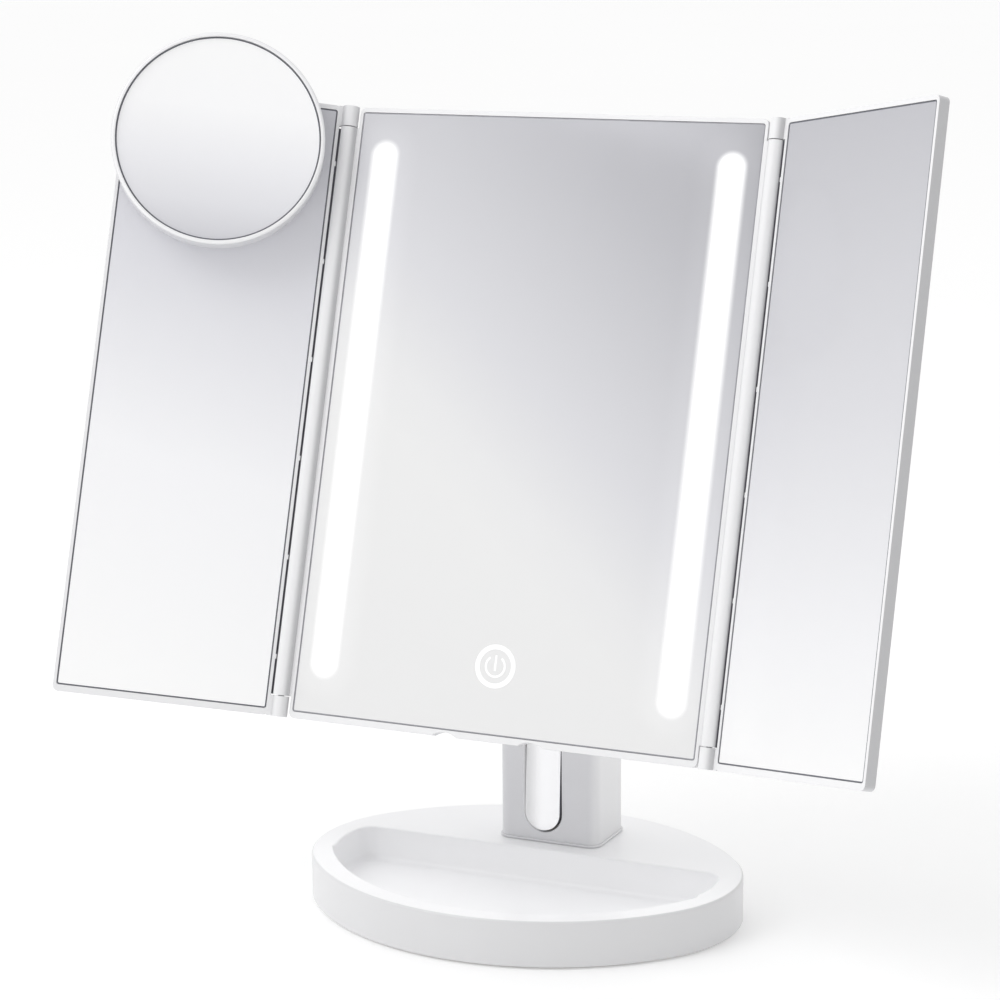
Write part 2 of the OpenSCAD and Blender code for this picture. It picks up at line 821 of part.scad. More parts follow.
// Frame of a side mirror: rims, web, two end knuckles and a row of nibs
module wing_frame(side) {
    pitch = (panel_h - 2 * nib_end) / (nib_count - 1);
    color(white) in_wing(side) {
        difference() {
            union() {
                plate(hinge_front, frame_t) translate([wing_in + wing_w / 2, panel_h / 2])
                    round_rect(wing_w, panel_h, corner_r);
                for (z = [0, panel_h - knuckle_h]) wing_knuckle(z);
            }
            translate([wing_in + wing_w / 2, 0, 0]) {
                plate(hinge_front - 4, web_y + 4) glass_outline(wing_w, 0);
                plate(hinge_front + web_y + web_t, frame_t) glass_outline(wing_w, 0);
            }
            for (z = [-1, panel_h - knuckle_h - 1])
                translate([0, 0, z]) cylinder(d = pin_d, h = knuckle_h + 2, $fn = 48);
        }
        for (i = [0 : nib_count - 1])
            translate([wing_in - nib_out, hinge_front, nib_end + i * pitch - nib_h / 2])
                cube([nib_out + 0.5, nib_t, nib_h]);
    }
}

// Knuckle of a wing: a barrel end joined to the frame's inner edge
module wing_knuckle(z) {
    translate([0, 0, z]) cylinder(r = barrel_r, h = knuckle_h, $fn = 48);
    translate([0, hinge_front, z]) cube([wing_in + 1, barrel_r - hinge_front - 0.2, knuckle_h]);
}

module wing_glass(side) {
    color(silver) in_wing(side) translate([wing_in + wing_w / 2, 0, 0])
        plate(hinge_front + glass_y, glass_t) glass_outline(wing_w, gap / 2);
}

module wing_back(side) {
    back_y = hinge_front + web_y + web_t;
    color(white) in_wing(side) translate([wing_in + wing_w / 2, 0, 0])
        plate(back_y, frame_t + hinge_front - back_y) glass_outline(wing_w, fit);
}

// Steel pins through the knuckles into the panel's barrel
module hinge_pins(side) {
    color(steel) in_wing(side)
        for (z = [0.5, panel_h - knuckle_h - pin_grip])
            translate([0, 0, z]) cylinder(d = pin_d, h = knuckle_h + pin_grip - 0.5, $fn = 48);
}

module left_wing_frame() { wing_frame(-1); }
module left_wing_glass() { wing_glass(-1); }
module left_wing_back() { wing_back(-1); }
module left_hinge_pins() { hinge_pins(-1); }
module right_wing_frame() { wing_frame(1); }
module right_wing_glass() { wing_glass(1); }
module right_wing_back() { wing_back(1); }
module right_hinge_pins() { hinge_pins(1); }

// ---------------------------------------------------------------- spot mirror

// Turns a profile of radius and depth about the spot mirror's axis; depth grows towards the viewer
module spot_turn() {
    in_spot() rotate([90, 0, 0]) rotate_extrude($fn = 120) children();
}

module spot_housing() {
    color(white) spot_turn() difference() {
        polygon([[spot_r - 4, 0], [spot_r - 1.2, 0], [spot_r, 3], [spot_r, spot_t - 0.8],
                 [spot_r - 0.8, spot_t], [spot_r - 4, spot_t]]);
        translate([0, spot_t - spot_pocket]) square([spot_d / 2 + fit, spot_pocket + 1]);
        translate([0, -1]) square([spot_r - 3.2, 3.6]);
    }
}

module spot_back() {
    plate_r = spot_r - 3.2 - fit;
    color(ivory) in_spot() difference() {
        rotate([90, 0, 0]) cylinder(r = plate_r, h = 2.2);
        at_cups() rotate([90, 0, 0]) translate([0, 0, -1]) cylinder(r = 2, h = 5, $fn = 32);
    }
}

// Places of the three suction cups on the spot mirror's back
module at_cups() {
    for (a = [90, 210, 330])
        translate([cup_ring * cos(a), 0, cup_ring * sin(a)]) children();
}

// Magnifying glass: hollow front, flat back
module spot_glass() {
    back = spot_t - spot_pocket;
    edge = back + spot_glass_t + 0.9;
    steps = 10;
    color(silver) spot_turn() polygon(concat([[spot_d / 2, back], [0, back]],
        [for (i = [0 : steps]) bowl_point(i / steps * spot_d / 2, edge)]));
}

// Point of the hollow face at distance r from the axis, where its edge stands at height edge
function bowl_point(r, edge) =
    [r, edge + sqrt(bowl_r * bowl_r - spot_d * spot_d / 4) - sqrt(bowl_r * bowl_r - r * r)];

module spot_cups() {
    color("gainsboro") in_spot() at_cups() rotate([90, 0, 0]) rotate_extrude($fn = 64)
        polygon([[0, -1], [3, -0.8], [cup_r - 5, -1.5], [cup_r, -cup_gap + gap],
                 [cup_r, -cup_gap + gap + 0.6], [cup_r - 5, -0.3], [2, 0], [2, 2.2], [3.4, 2.2],
                 [2.6, 4.2], [0, 4.2]]);
}

// ---------------------------------------------------------------- all nodes

base_shell();
base_bottom();
base_weight();
base_feet();
base_screws();
base_post();
column_shell();
column_collar();
release_button();
button_pin();
button_spring();
pivot_block();
pivot_bushes();
tilt_shaft();
shaft_nut();
friction_washers();
tilt_yoke();
yoke_screws();
main_frame();
main_glass();
left_diffuser();
right_diffuser();
left_led_board();
right_led_board();
touch_sensor();
control_board();
usb_socket();
rear_housing();
rear_screws();
battery_cells();
battery_contacts();
wiring();
battery_door();
left_wing_frame();
left_wing_glass();
left_wing_back();
left_hinge_pins();
right_wing_frame();
right_wing_glass();
right_wing_back();
right_hinge_pins();
spot_housing();
spot_back();
spot_glass();
spot_cups();
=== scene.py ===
"""Finished looks of a lighted tri-fold vanity mirror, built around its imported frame."""

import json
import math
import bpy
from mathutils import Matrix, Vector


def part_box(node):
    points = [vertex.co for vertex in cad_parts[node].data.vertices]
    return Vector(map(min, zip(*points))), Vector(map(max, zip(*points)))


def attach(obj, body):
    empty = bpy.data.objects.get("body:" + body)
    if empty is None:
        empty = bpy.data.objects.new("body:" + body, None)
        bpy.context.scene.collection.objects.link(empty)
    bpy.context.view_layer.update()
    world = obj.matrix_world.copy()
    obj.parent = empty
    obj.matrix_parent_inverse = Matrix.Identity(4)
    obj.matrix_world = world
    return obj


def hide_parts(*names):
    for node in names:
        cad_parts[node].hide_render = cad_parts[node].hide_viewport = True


bl_info = {
    "name": "Lighted Vanity Mirror",
    "version": (1, 0, 0),
    "blender": (4, 5, 0),
    "location": "View3D > Sidebar > Vanity Mirror",
    "description": "Builds a lighted tri-fold vanity mirror around its frame",
    "category": "Object",
}

import bmesh
import bpy
from bpy.props import FloatProperty, FloatVectorProperty, IntProperty, PointerProperty
from mathutils import Matrix, Vector

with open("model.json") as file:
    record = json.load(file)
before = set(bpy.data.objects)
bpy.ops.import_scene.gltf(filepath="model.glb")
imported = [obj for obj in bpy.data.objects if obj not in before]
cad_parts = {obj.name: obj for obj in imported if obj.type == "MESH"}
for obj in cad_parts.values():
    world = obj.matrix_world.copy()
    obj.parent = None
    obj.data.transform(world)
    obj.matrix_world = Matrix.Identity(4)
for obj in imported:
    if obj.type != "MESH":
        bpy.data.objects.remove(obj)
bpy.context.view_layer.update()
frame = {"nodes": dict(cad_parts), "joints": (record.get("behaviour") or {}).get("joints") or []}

MM = 0.001

# ---------------------------------------------------------------- frames of reference

PANEL_W = 180 * MM
PANEL_H = 256 * MM
HINGE_X = 94.25 * MM
HINGE_Y = -0.5 * MM
WING_IN = 4.25 * MM
PIVOT_DEPTH = 48 * MM
PIVOT_RISE = 101 * MM
SPOT_OUT = 53 * MM
SPOT_DROP = 23 * MM
SPOT_Y = -1.4 * MM
STRIP_X = 76.5 * MM
STRIP_Z = 130.1 * MM
STRIP_W = 11.4 * MM
STRIP_L = 223.2 * MM
TOUCH_Z = 30.5 * MM
FRAME_BACK = 5.1 * MM
FRAME_SIDE = 3 * MM
FRAME_END = 4 * MM
HOUSING_BACK = 26 * MM
HOUSING_SIDE = 12 * MM
HOUSING_END = 5 * MM
BASE_END_R = 54 * MM
BASE_EDGE = 3 * MM
TRAY_FLOOR = 5.2 * MM
TRAY_BACK = 15 * MM
TRAY_RIM = 5 * MM
TRAY_MOUTH = 8 * MM
COLLAR_TOP = 1 * MM
CELLS_BAND_Z = 56 * MM

# details that only the finished pieces have
GAP_END = 9 * MM
LIP_OUT = 1.2 * MM
LIP_BITE = 0.5 * MM
LIP_T = 0.9 * MM
LIP_Y = 4.7 * MM
LIP_FRONT = 3.5 * MM
STRIP_GLOW = 1.9 * MM
HALO_REACH = 12 * MM
SIGN_T = 0.04 * MM
GLASS_Y = 0.3 * MM
STROKE_Z = 1.3 * MM
STROKE_L = 6.4 * MM
SPOT_GLASS_R = 42 * MM
SPOT_GLASS_FRONT = 13.7 * MM
SPOT_GLASS_BACK = 11 * MM
SPOT_BOWL_R = 700 * MM
SPOT_RINGS = 16
SPOT_FALL_TOP = 277 * MM
SPOT_FALL = 88 * MM

# small roundings
FEET_ROUND = 0.35 * MM
COLLAR_ROUND = 0.25 * MM
COLUMN_ROUND = 0.45 * MM
BUTTON_ROUND = 0.4 * MM
YOKE_ROUND = 0.5 * MM
PANEL_ROUND = 0.3 * MM
RIM_ROUND = 0.35 * MM
UNDERSIDE_ROUND = 0.5 * MM

# how far a point may lie from a face and still count as on it
NEAR = 0.05 * MM
SHARP = math.radians(35)

# finishes
CLOUD_SIZE = 38 * MM
WEAR_SIZE = 9 * MM
WAVE_SIZE = 4 * MM
SKIN_SIZE = 0.45 * MM
SKIN_DEPTH = 0.0015 * MM
# painted shade on faces turned away from a piece's front: up to this share of this grey
SIDE_SHADE_SHARE = 0.42
SIDE_SHADE_GREY = (0.28, 0.28, 0.3)
# painted shade in the narrow gaps
GAP_SHADE_GREY = (0.24, 0.24, 0.27)
MIRROR_METAL = 0.1
# painted glow on the left side mirror and on the spot mirror
MIRROR_PAINTED_GLOW = 0.12
FROST_WHITE = (0.9, 0.9, 0.9, 1)

# stage
BACKDROP = 0.975


def joint(name):
    """The frame's joint of that name."""
    return next(j for j in frame["joints"] if j["name"] == name)


def rest_angle(name):
    """How far a hinge stands from its lower limit at rest, in radians."""
    return math.radians(-joint(name)["range_deg"][0])


def head_frame():
    """The head's own frame: front face at y = 0, bottom edge at z = 0."""
    turn = Matrix.Rotation(-rest_angle("mirror_tilt"), 4, "X")
    pivot = Matrix.Translation(joint("mirror_tilt")["pos_m"])
    return pivot @ turn @ Matrix.Translation((0, -PIVOT_DEPTH, -PIVOT_RISE))


def wing_frame(side):
    """A side mirror's own frame: hinge axis at x = 0, the wing running out along +x or -x."""
    fold = rest_angle("right_wing_fold" if side > 0 else "left_wing_fold")
    hinge = Matrix.Translation((side * HINGE_X, HINGE_Y, 0))
    return head_frame() @ hinge @ Matrix.Rotation(-side * fold, 4, "Z")


def spot_frame():
    """The spot mirror's own frame: its axis is +z, towards the viewer, and its back is at z = 0."""
    place = Matrix.Translation((-SPOT_OUT, SPOT_Y, PANEL_H - SPOT_DROP))
    return wing_frame(-1) @ place @ Matrix.Rotation(math.radians(90), 4, "X")


HEAD = head_frame()
LEFT_WING = wing_frame(-1)
RIGHT_WING = wing_frame(1)
SPOT = spot_frame()
WORLD = Matrix.Identity(4)

# ---------------------------------------------------------------- settings


class VanitySizes(bpy.types.PropertyGroup):
    """Sizes of roundings and fine details."""

    base_round: FloatProperty(
        name="Base edge", description="Rounding of the base's upper edge",
        default=1.1 * MM, unit="LENGTH", subtype="DISTANCE")
    tray_round: FloatProperty(
        name="Tray edge", description="Rounding of the tray's upper edge",
        default=0.9 * MM, unit="LENGTH", subtype="DISTANCE")
    tray_fillet: FloatProperty(
        name="Tray fillet", description="Rounding between the tray's wall and its floor",
        default=4.5 * MM, unit="LENGTH", subtype="DISTANCE")
    frame_round: FloatProperty(
        name="Frame edge", description="Rounding of the mirror frames' edges",
        default=0.5 * MM, unit="LENGTH", subtype="DISTANCE")
    button_rise: FloatProperty(
        name="Button rise", description="How far the release button's face stands forward",
        default=2.2 * MM, unit="LENGTH", subtype="DISTANCE")
    housing_round: FloatProperty(
        name="Housing edge", description="Rounding of the rear housing's back edge",
        default=3.0 * MM, unit="LENGTH", subtype="DISTANCE")
    glass_line: FloatProperty(
        name="Glass edge", description="Width of the dark line round each mirror glass",
        default=0.45 * MM, unit="LENGTH", subtype="DISTANCE")
    ring_r: FloatProperty(
        name="Touch ring", description="Middle radius of the ring round the touch switch",
        default=7.85 * MM, unit="LENGTH", subtype="DISTANCE")
    ring_w: FloatProperty(
        name="Ring line", description="Line width of the ring round the touch switch",
        default=2.0 * MM, unit="LENGTH", subtype="DISTANCE")
    sign_r: FloatProperty(
        name="Power sign", description="Middle radius of the power sign",
        default=4.15 * MM, unit="LENGTH", subtype="DISTANCE")
    sign_w: FloatProperty(
        name="Power sign line", description="Line width of the power sign",
        default=0.9 * MM, unit="LENGTH", subtype="DISTANCE")
    segments: IntProperty(
        name="Rounding steps", description="Steps in each rounded edge", default=3, min=1, max=8)


class VanityColours(bpy.types.PropertyGroup):
    """Colours of the plastics, the mirrors and the lights."""

    shell: FloatVectorProperty(
        name="Shell", description="Colour of the glossy white plastic",
        default=(0.76, 0.76, 0.77), subtype="COLOR")
    frame: FloatVectorProperty(
        name="Frames", description="Colour of the mirror frames' plastic",
        default=(0.92, 0.92, 0.93), subtype="COLOR")
    # a lighter white than the shell: painted light on the base's top and tray, which lie under the
    # head
    tray: FloatVectorProperty(
        name="Tray", description="Colour of the tray and of the base's top",
        default=(0.92, 0.92, 0.93), subtype="COLOR")
    column: FloatVectorProperty(
        name="Column", description="Colour of the column's plastic",
        default=(0.79, 0.79, 0.81), subtype="COLOR")
    inner: FloatVectorProperty(
        name="Inner plastic", description="Colour of the plastic inside",
        default=(0.72, 0.70, 0.64), subtype="COLOR")
    rubber: FloatVectorProperty(
        name="Rubber", description="Colour of the rubber feet",
        default=(0.08, 0.08, 0.085), subtype="COLOR")
    edge: FloatVectorProperty(
        name="Glass edge", description="Colour of the dark line round the smaller mirror glasses",
        default=(0.16, 0.165, 0.19), subtype="COLOR")
    main_edge: FloatVectorProperty(
        name="Main glass edge", description="Colour of the line round the main mirror glass",
        default=(0.34, 0.34, 0.37), subtype="COLOR")
    board: FloatVectorProperty(
        name="Circuit board", description="Colour of the circuit boards",
        default=(0.02, 0.18, 0.07), subtype="COLOR")
    light: FloatVectorProperty(
        name="Light", description="Colour of the light strips",
        default=(1.0, 1.0, 1.0), subtype="COLOR")
    light_strength: FloatProperty(
        name="Light strength", description="Strength of the light strips", default=0.3, min=0)


def sizes():
    return bpy.context.scene.vanity_sizes


def colours():
    return bpy.context.scene.vanity_colours


# ---------------------------------------------------------------- materials


class Finish:
    """A node material under construction: a Principled shader and what feeds it."""

    def __init__(self, name, **values):
        self.material = bpy.data.materials.new(name)
        self.material.use_nodes = True
        self.tree = self.material.node_tree
        self.shader = self.tree.nodes["Principled BSDF"]
        for socket, value in values.items():
            self.shader.inputs[socket.replace("_", " ")].default_value = value
        self.place = self.add("ShaderNodeTexCoord").outputs["Object"]

    def add(self, kind, inputs=None, **settings):
        """Adds a node; inputs holds numbers to set or outputs to link, by socket."""
        node = self.tree.nodes.new(kind)
        for key, value in settings.items():
            setattr(node, key, value)
        for socket, value in (inputs or {}).items():
            if isinstance(value, bpy.types.NodeSocket):
                self.tree.links.new(value, node.inputs[socket])
            else:
                node.inputs[socket].default_value = value
        return node

    def link(self, output, socket):
        self.tree.links.new(output, self.shader.inputs[socket])

    def maths(self, operation, *values):
        """Output of one Math node."""
        return self.add("ShaderNodeMath", dict(enumerate(values)), operation=operation).outputs[0]

    def noise(self, size, detail=2.0, place=None):
        """Noise whose blotches are about size across."""
        inputs = {"Vector": place or self.place, "Scale": 1 / size, "Detail": detail}
        return self.add("ShaderNodeTexNoise", inputs).outputs["Fac"]

    def spread(self, value, low, high, start=0.3, end=0.7, smooth=False):
        """Maps value from start..end to low..high."""
        inputs = {"Value": value, "From Min": start, "From Max": end, "To Min": low, "To Max": high}
        kind = "SMOOTHSTEP" if smooth else "LINEAR"
        return self.add("ShaderNodeMapRange", inputs, interpolation_type=kind).outputs["Result"]

    def blend(self, share, one, two):
        """A colour between one and two."""
        inputs = {"Factor": share, 6: one, 7: two}
        return self.add("ShaderNodeMix", inputs, data_type="RGBA").outputs[2]

    def ramp(self, value, stops):
        """Colour ramp through stops of (place, colour)."""
        node = self.add("ShaderNodeValToRGB", {"Fac": value})
        elements = node.color_ramp.elements
        while len(elements) < len(stops):
            elements.new(0.5)
        for element, (place, colour) in zip(elements, stops):
            element.position = place
            element.color = (*colour, 1)
        return node.outputs["Color"]

    def bump(self, height, depth):
        """Roughens the surface by height times depth."""
        node = self.add("ShaderNodeBump", {"Height": height, "Distance": depth, "Strength": 1.0})
        self.link(node.outputs["Normal"], "Normal")

    def piece_normal(self):
        """The surface's direction on the piece as it stands at rest."""
        normal = self.add("ShaderNodeNewGeometry").outputs["Normal"]
        return self.add("ShaderNodeVectorTransform", {"Vector": normal}, vector_type="NORMAL",
                        convert_from="WORLD", convert_to="OBJECT").outputs["Vector"]

    def local(self, matrix):
        """The coordinates in a piece's own frame."""
        inverse = matrix.inverted()
        inputs = {"Vector": self.place, "Location": inverse.translation,
                  "Rotation": inverse.to_euler("XYZ")}
        return self.add("ShaderNodeMapping", inputs).outputs["Vector"]


def tone(level, tint=0.0):
    """Linear colour of a display grey level from 0 to 255, a little bluer by tint levels."""
    def linear(value):
        value = value / 255
        return value / 12.92 if value <= 0.04045 else ((value + 0.055) / 1.055) ** 2.4
    return (linear(level), linear(level), linear(level + tint))


def moulded_plastic(name, colour, roughness=0.3, coat=0.0, grain=SKIN_DEPTH, painted_glow=0.0,
                    front=None, painted_side_shading=None):
    """Moulded plastic: faint clouding, uneven gloss and a very fine skin.

    Its glow is painted light that lifts its shadows a little. Faces are greyer the more they turn
    away from front, a direction on the piece as it stands at rest: painted shade. The last argument
    holds (start, end, share, grey): faces take on up to that share of grey as their normal's x runs
    from start to end, painted shade where the grey is darker than the colour and painted light where
    it is lighter."""
    finish = Finish(name, Coat_Weight=coat, Coat_Roughness=0.08, Specular_IOR_Level=0.5)
    shade = tuple(0.985 * c for c in colour)
    cloud = finish.spread(finish.noise(CLOUD_SIZE, 3), 0, 1)
    white = finish.blend(cloud, (*shade, 1), (*colour, 1))
    normal = finish.piece_normal()
    if front:
        towards = finish.add("ShaderNodeVectorMath", {0: normal, 1: front},
                             operation="DOT_PRODUCT").outputs["Value"]
        share = finish.spread(towards, SIDE_SHADE_SHARE, 0, 0.3, 0.9, True)
        white = finish.blend(share, white, (*SIDE_SHADE_GREY, 1))
    # painted shade or painted light on faces by which way they turn along x
    if painted_side_shading:
        start, end, most, grey = painted_side_shading
        sideways = finish.add("ShaderNodeSeparateXYZ", {"Vector": normal}).outputs["X"]
        share = finish.spread(sideways, 0, most, start, end, True)
        white = finish.blend(share, white, (grey, grey, grey, 1))
    finish.link(white, "Base Color")
    finish.link(white, "Emission Color")
    finish.shader.inputs["Emission Strength"].default_value = painted_glow
    wear = finish.spread(finish.noise(WEAR_SIZE, 4), roughness - 0.02, roughness + 0.03)
    finish.link(wear, "Roughness")
    skin = finish.maths("ADD", finish.noise(SKIN_SIZE, 3), finish.noise(WAVE_SIZE, 2))
    finish.bump(skin, grain)
    return finish.material


def tray_plastic(name, wall, tray, painted_glow):
    """The base's plastic: colour wall on faces that look outwards, colour tray on the others. The
    lighter tray colour and the glow on those other faces are painted light on the base's top and
    tray, which lie under the head.
    """
    finish = Finish(name, Coat_Weight=0.2, Coat_Roughness=0.08, Specular_IOR_Level=0.5)
    cloud = finish.spread(finish.noise(CLOUD_SIZE, 3), 0.985, 1)
    level = finish.add("ShaderNodeVectorMath", {0: finish.place, 1: (1, 1, 0)},
                       operation="MULTIPLY").outputs[0]
    away = finish.add("ShaderNodeVectorMath", {0: level}, operation="NORMALIZE").outputs[0]
    outward = finish.add("ShaderNodeVectorMath", {0: away, 1: finish.piece_normal()},
                         operation="DOT_PRODUCT").outputs["Value"]
    share = finish.spread(outward, 1, 0, 0.0, 0.7, True)
    white = finish.blend(share, (*wall, 1), (*tray, 1))
    clouded = finish.add("ShaderNodeVectorMath", {0: white, "Scale": cloud}, operation="SCALE")
    finish.link(clouded.outputs[0], "Base Color")
    finish.link(clouded.outputs[0], "Emission Color")
    finish.link(finish.maths("MULTIPLY", share, painted_glow), "Emission Strength")
    finish.link(finish.spread(finish.noise(WEAR_SIZE, 4), 0.3, 0.36), "Roughness")
    finish.bump(finish.noise(SKIN_SIZE, 3), SKIN_DEPTH)
    return finish.material


def metal(name, colour, roughness, brushed=(1, 1, 1)):
    """Bare metal with a drawn grain, stretched by brushed."""
    finish = Finish(name, Metallic=1.0)
    grain = finish.add("ShaderNodeMapping", {"Vector": finish.place, "Scale": brushed})
    scratch = finish.noise(0.6 * MM, 4, grain.outputs["Vector"])
    dark = tuple(0.8 * c for c in colour)
    tint = finish.spread(finish.noise(6 * MM, 3), 0, 1)
    finish.link(finish.blend(tint, (*dark, 1), (*colour, 1)), "Base Color")
    finish.link(finish.spread(scratch, roughness - 0.06, roughness + 0.12), "Roughness")
    finish.bump(scratch, 0.01 * MM)
    return finish.material


def rubber(name, colour, clear=0.0):
    """Matt rubber with a pebbled skin, or clear soft vinyl."""
    finish = Finish(name, Transmission_Weight=clear, IOR=1.45)
    dust = finish.spread(finish.noise(5 * MM, 4), 0, 1)
    pale = tuple(min(1.0, 1.25 * c + 0.01) for c in colour)
    finish.link(finish.blend(dust, (*colour, 1), (*pale, 1)), "Base Color")
    finish.link(finish.spread(finish.noise(3 * MM), 0.55 - 0.3 * clear, 0.75 - 0.3 * clear),
                "Roughness")
    finish.bump(finish.noise(0.5 * MM, 2), 0.03 * MM)
    return finish.material


def circuit_board(name, colour):
    """Green solder mask with copper runs showing through it."""
    finish = Finish(name, Coat_Weight=0.4, Coat_Roughness=0.1)
    runs = finish.add("ShaderNodeTexBrick", {
        "Vector": finish.local(HEAD @ Matrix.Rotation(math.radians(90), 4, "X")),
        "Scale": 1 / (14 * MM), "Mortar Size": 0.03, "Brick Width": 0.9, "Row Height": 0.3,
        "Color1": (*colour, 1), "Color2": (*(1.3 * c for c in colour), 1),
        "Mortar": (*(2.2 * c + 0.02 for c in colour), 1)})
    finish.link(runs.outputs["Color"], "Base Color")
    finish.link(finish.spread(finish.noise(4 * MM), 0.3, 0.5), "Roughness")
    finish.bump(runs.outputs["Fac"], 0.03 * MM)
    return finish.material


def cell_wrap(name):
    """Shrink-wrapped cells: a dark sleeve, paler above one height."""
    sleeve = (0.05, 0.12, 0.09, 1)
    pale = (0.55, 0.42, 0.2, 1)
    finish = Finish(name, Coat_Weight=0.5, Coat_Roughness=0.15)
    height = finish.add("ShaderNodeSeparateXYZ", {"Vector": finish.local(HEAD)}).outputs["Z"]
    above = finish.maths("GREATER_THAN", height, CELLS_BAND_Z)
    finish.link(finish.blend(above, sleeve, pale), "Base Color")
    finish.link(finish.spread(finish.noise(6 * MM), 0.25, 0.4), "Roughness")
    finish.bump(finish.noise(2 * MM, 3), 0.02 * MM)
    return finish.material


def glass_edge(name, colour):
    """Ground, unsilvered edge of a mirror glass."""
    finish = Finish(name, Metallic=0.3)
    patch = finish.spread(finish.noise(7 * MM, 3), 0, 1)
    paler = tuple(1.25 * c for c in colour)
    finish.link(finish.blend(patch, (*colour, 1), (*paler, 1)), "Base Color")
    finish.link(finish.spread(finish.noise(1 * MM), 0.35, 0.5), "Roughness")
    finish.bump(finish.noise(0.3 * MM, 2), 0.01 * MM)
    return finish.material


def mirror_finish(name, matrix, across, along, offset, stops):
    """Silvered glass with a painted reflection: the studio's grey falling over it as a painted
    gradient.

    The stops run over x * across + z * along + offset in the glass's own frame, from 0 to 1."""
    finish = Finish(name, Metallic=MIRROR_METAL, Specular_IOR_Level=0.15)
    local = finish.local(matrix)
    run = finish.add("ShaderNodeVectorMath", {0: local, 1: (across, 0, along)},
                     operation="DOT_PRODUCT").outputs["Value"]
    grey = finish.ramp(finish.maths("ADD", run, offset), stops)
    film = finish.spread(finish.noise(45 * MM, 3), 0.07, 0.1)
    finish.link(film, "Roughness")
    return finish, local, grey


def plain_mirror(name, matrix, across, along, offset, stops, painted_glow=0.0):
    """Mirror finish without lights; its glow adds a little of the studio's white as painted light."""
    finish, _, grey = mirror_finish(name, matrix, across, along, offset, stops)
    finish.link(grey, "Base Color")
    finish.link(grey, "Emission Color")
    finish.shader.inputs["Emission Strength"].default_value = painted_glow
    return finish.material


def lit_mirror(name, across, along, offset, stops):
    """Main mirror's finish: two frosted strips in the silvering, lit from behind."""
    finish, local, grey = mirror_finish(name, HEAD, across, along, offset, stops)
    axes = finish.add("ShaderNodeSeparateXYZ", {"Vector": local})
    side = finish.maths("SUBTRACT", finish.maths("ABSOLUTE", axes.outputs["X"]), STRIP_X)
    rise = finish.maths("ABSOLUTE", finish.maths("SUBTRACT", axes.outputs["Z"], STRIP_Z))
    past = finish.maths("MAXIMUM", finish.maths("SUBTRACT", rise, (STRIP_L - STRIP_W) / 2), 0.0)
    reach = finish.maths("SQRT", finish.maths("ADD", finish.maths("MULTIPLY", side, side),
                                              finish.maths("MULTIPLY", past, past)))
    frost = finish.spread(reach, 1, 0, STRIP_W / 2 - STRIP_GLOW, STRIP_W / 2 + STRIP_GLOW, True)
    # a halo round each strip that falls to an even painted glow over the rest of the glass
    halo_and_painted_glow = finish.spread(reach, 0.25, 0.13, STRIP_W / 2, STRIP_W / 2 + HALO_REACH, True)
    finish.link(finish.blend(frost, grey, FROST_WHITE), "Base Color")
    glow = finish.maths("MULTIPLY", finish.maths("ADD", frost, halo_and_painted_glow), colours().light_strength)
    finish.shader.inputs["Emission Color"].default_value = (*colours().light, 1)
    finish.link(glow, "Emission Strength")
    return finish.material


def frosted_light(name):
    """Frosted window in the silvering, evenly lit from behind."""
    finish = Finish(name, Emission_Color=(*colours().light, 1))
    frost = finish.noise(0.8 * MM, 3)
    white = finish.blend(finish.spread(frost, 0, 1), (0.86, 0.86, 0.87, 1), FROST_WHITE)
    finish.link(white, "Base Color")
    level = colours().light_strength
    finish.link(finish.spread(frost, 0.55 * level, 0.65 * level), "Emission Strength")
    finish.link(finish.spread(frost, 0.5, 0.7), "Roughness")
    return finish.material


# ---------------------------------------------------------------- mesh helpers


def merged_copy(node, matrix):
    """The CAD node's mesh with its triangles joined into whole faces, in the frame of matrix."""
    bm = bmesh.new()
    bm.from_mesh(frame["nodes"][node].data)
    bmesh.ops.transform(bm, matrix=matrix.inverted(), verts=bm.verts)
    bmesh.ops.remove_doubles(bm, verts=bm.verts, dist=0.002 * MM)
    bmesh.ops.dissolve_limit(bm, angle_limit=math.radians(0.4), verts=bm.verts, edges=bm.edges)
    return bm


def round_edges(bm, width, segments, pick):
    """Rounds the sharp edges whose two ends pick says yes to, or all of them without a pick."""
    edges = []
    for edge in bm.edges:
        if not edge.is_manifold or edge.calc_face_angle() < SHARP:
            continue
        if pick is None or all(pick(vertex.co) for vertex in edge.verts):
            edges.append(edge)
    if not edges:
        raise RuntimeError("no edge to round was found")
    bmesh.ops.bevel(bm, geom=edges, offset=width, offset_type="OFFSET", segments=segments,
                    profile=0.5, affect="EDGES", clamp_overlap=True, material=-1)


def finish_piece(bm, name, matrix, materials, body, nodes, smooth=35):
    """Puts the mesh in place as one piece that rides on body and stands for nodes.

    Faces that meet at less than smooth degrees shade as one."""
    bmesh.ops.transform(bm, matrix=matrix, verts=bm.verts)
    mesh = bpy.data.meshes.new(name)
    bm.to_mesh(mesh)
    bm.free()
    for material in materials:
        mesh.materials.append(material)
    mesh.shade_smooth()
    mesh.set_sharp_from_angle(angle=math.radians(smooth))
    piece = bpy.data.objects.new(name, mesh)
    bpy.context.scene.collection.objects.link(piece)
    weigh_normals(piece)
    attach(piece, body)
    if nodes:
        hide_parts(*nodes)
    return piece


def weigh_normals(piece):
    """Lets the large flat faces rule the shading of the rounded edges beside them."""
    modifier = piece.modifiers.new("Flat faces rule", "WEIGHTED_NORMAL")
    modifier.keep_sharp = True
    depsgraph = bpy.context.evaluated_depsgraph_get()
    mesh = bpy.data.meshes.new_from_object(piece.evaluated_get(depsgraph))
    piece.modifiers.clear()
    mesh.name = piece.name
    piece.data = mesh


